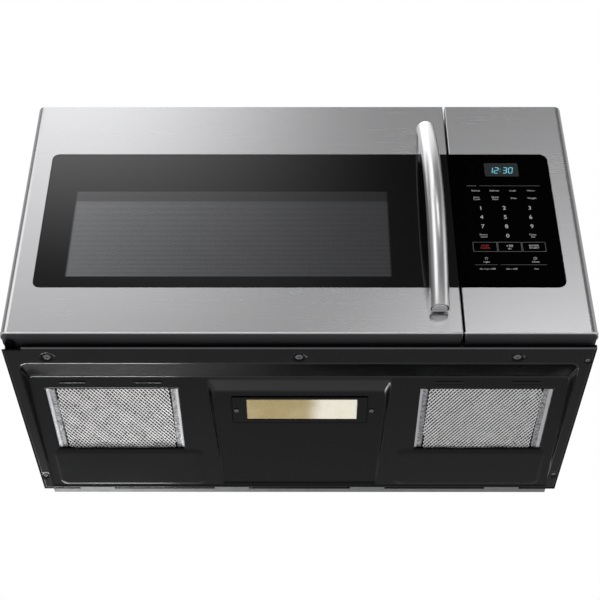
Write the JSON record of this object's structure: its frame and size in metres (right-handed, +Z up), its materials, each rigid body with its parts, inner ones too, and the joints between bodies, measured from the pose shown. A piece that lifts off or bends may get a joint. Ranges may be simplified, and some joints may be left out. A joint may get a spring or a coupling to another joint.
{
  "type": "over-the-range microwave oven",
  "caption": "Over-the-range microwave oven: stainless front, bowed handle on a side-hung door, key panel, pressed underside with grease filters and lamp, exhaust collar on top.",
  "frame": {"origin": "middle of the overall box at the level of the base pan's rim, which is the lowest face", "axes": "+X to the right as seen from the front and along the width, +Y into the kitchen wall, +Z up"},
  "size_m": [0.759, 0.4478, 0.4432],
  "materials": {
    "stainless_skin": "horizontal brushed, satin",
    "stainless_handle": "fine brushed along the bar, satin",
    "black_glass": "gloss, printed black behind",
    "display_window": "gloss, smoked",
    "black_steel": "satin black powder coat",
    "galvanised_steel": "zinc coated, matt",
    "cavity_enamel": "light grey enamel",
    "choke_steel": "dark enamel, punched screen",
    "black_plastic": "fine texture",
    "grey_plastic": "fine texture",
    "screw_steel": "zinc plated",
    "filter_aluminium": "expanded mesh in a folded frame",
    "lamp_glass": "ribbed, frosted",
    "bulb_glass": "frosted",
    "tray_glass": "clear pressed glass",
    "clear_window": "clear film over the screen",
    "carbon_felt": "carbon granules in felt",
    "mica": "mica board",
    "tube_steel": "plated steel",
    "laminated_core": "varnished laminations",
    "circuit_board": "glass-fibre board with parts",
    "switch_plastic": "moulded",
    "white_plastic": "heat-resistant, natural white",
    "soft_rubber": "moulded"
  },
  "bodies": {
    "cabinet": {"outer_case": "black_steel", "front_frame": "black_steel", "rear_panel": "galvanised_steel", "wall_plate": "galvanised_steel", "base_pan": "black_steel", "lamp_cover": "black_steel", "lamp_lens": "lamp_glass", "lamp_holder": "galvanised_steel", "cooktop_bulbs": "bulb_glass", "cabinet_screws": "screw_steel", "oven_cavity": "cavity_enamel", "waveguide_cover": "mica", "component_shelf": "galvanised_steel", "vent_grille": "black_plastic", "charcoal_filter": "carbon_felt", "exhaust_adaptor": "galvanised_steel", "blower_housing": "galvanised_steel", "blower_motor": "tube_steel", "fan_shroud": "black_plastic", "fan_motor": "laminated_core", "magnetron": "tube_steel", "high_voltage_transformer": "laminated_core", "high_voltage_capacitor": "tube_steel", "noise_filter_board": "circuit_board", "latch_board": "grey_plastic", "interlock_switches": "switch_plastic", "thermal_cutouts": "tube_steel", "oven_lamp": "bulb_glass", "cord_grommet": "soft_rubber", "turntable_motor": "tube_steel", "door_hinges": "galvanised_steel", "control_panel_skin": "stainless_skin", "control_panel_body": "black_plastic", "control_glass": "black_glass", "display_lens": "display_window", "control_board": "circuit_board"},
    "door": {"door_skin": "stainless_skin", "door_glass": "black_glass", "door_frame": "black_plastic", "choke_frame": "choke_steel", "inner_window": "clear_window", "choke_cover": "grey_plastic", "handle_bar": "stainless_handle", "handle_end_caps": "stainless_handle", "handle_posts": "stainless_handle", "latch_spring": "screw_steel"},
    "latch": {"latch_key": "grey_plastic"},
    "lower_switch_button": {"lower_switch_plunger": "switch_plastic"},
    "upper_switch_button": {"upper_switch_plunger": "switch_plastic"},
    "turntable": {"turntable_coupler": "white_plastic", "glass_tray": "tray_glass"},
    "roller_ring": {"roller_ring": "white_plastic"},
    "first_roller": {"roller_1": "white_plastic"},
    "second_roller": {"roller_2": "white_plastic"},
    "third_roller": {"roller_3": "white_plastic"},
    "blower_rotor": {"blower_wheels": "black_plastic"},
    "cooling_rotor": {"fan_blade": "black_plastic"},
    "damper": {"damper_flap": "galvanised_steel"},
    "left_filter": {"left_grease_filter": "filter_aluminium"},
    "right_filter": {"right_grease_filter": "filter_aluminium"}
  },
  "joints": [
    {"name": "door_hinge", "type": "hinge", "parent": "cabinet", "child": "door", "pos_m": [-0.3685, -0.1421, 0.2], "axis": [0, 0, -1], "range_deg": [0, 105]},
    {"name": "latch_slide", "type": "slide", "parent": "door", "child": "latch", "axis": [0, 0, 1], "range_m": [0, 0.004], "stiffness_N_per_m": 400, "springref_m": -0.003, "deforming": ["latch_spring"]},
    {"name": "lower_switch_press", "type": "slide", "parent": "cabinet", "child": "lower_switch_button", "axis": [0, 1, 0], "range_m": [0, 0.001], "stiffness_N_per_m": 200, "springref_m": -0.001},
    {"name": "upper_switch_press", "type": "slide", "parent": "cabinet", "child": "upper_switch_button", "axis": [0, 1, 0], "range_m": [0, 0.001], "stiffness_N_per_m": 200, "springref_m": -0.001},
    {"name": "turntable_spin", "type": "hinge", "parent": "cabinet", "child": "turntable", "pos_m": [-0.088, 0.0401, 0.08], "axis": [0, 0, 1], "continuous": true},
    {"name": "roller_ring_spin", "type": "hinge", "parent": "cabinet", "child": "roller_ring", "pos_m": [-0.088, 0.0401, 0.0713], "axis": [0, 0, 1], "continuous": true},
    {"name": "first_roller_spin", "type": "hinge", "parent": "roller_ring", "child": "first_roller", "pos_m": [-0.088, 0.1488, 0.0713], "axis": [0, 1, 0], "continuous": true},
    {"name": "second_roller_spin", "type": "hinge", "parent": "roller_ring", "child": "second_roller", "pos_m": [-0.18214, -0.01425, 0.0713], "axis": [-0.866, -0.5, 0], "continuous": true},
    {"name": "third_roller_spin", "type": "hinge", "parent": "roller_ring", "child": "third_roller", "pos_m": [0.00614, -0.01425, 0.0713], "axis": [0.866, -0.5, 0], "continuous": true},
    {"name": "blower_spin", "type": "hinge", "parent": "cabinet", "child": "blower_rotor", "pos_m": [0, 0.1539, 0.3644], "axis": [1, 0, 0], "continuous": true},
    {"name": "cooling_fan_spin", "type": "hinge", "parent": "cabinet", "child": "cooling_rotor", "pos_m": [0.285, 0.1599, 0.165], "axis": [0, 1, 0], "continuous": true},
    {"name": "damper_lift", "type": "hinge", "parent": "cabinet", "child": "damper", "pos_m": [0, 0.19115, 0.4206], "axis": [-1, 0, 0], "range_deg": [0, 80]},
    {"name": "left_filter_slide", "type": "slide", "parent": "cabinet", "child": "left_filter", "axis": [-1, 0, 0], "range_m": [0, 0.01]},
    {"name": "right_filter_slide", "type": "slide", "parent": "cabinet", "child": "right_filter", "axis": [1, 0, 0], "range_m": [0, 0.01]}
  ],
  "couplings": [
    {"joint": "roller_ring_spin", "follows": "turntable_spin", "ratio": 0.5},
    {"joint": "first_roller_spin", "follows": "turntable_spin", "ratio": -6.0389},
    {"joint": "second_roller_spin", "follows": "turntable_spin", "ratio": -6.0389},
    {"joint": "third_roller_spin", "follows": "turntable_spin", "ratio": -6.0389}
  ]
}
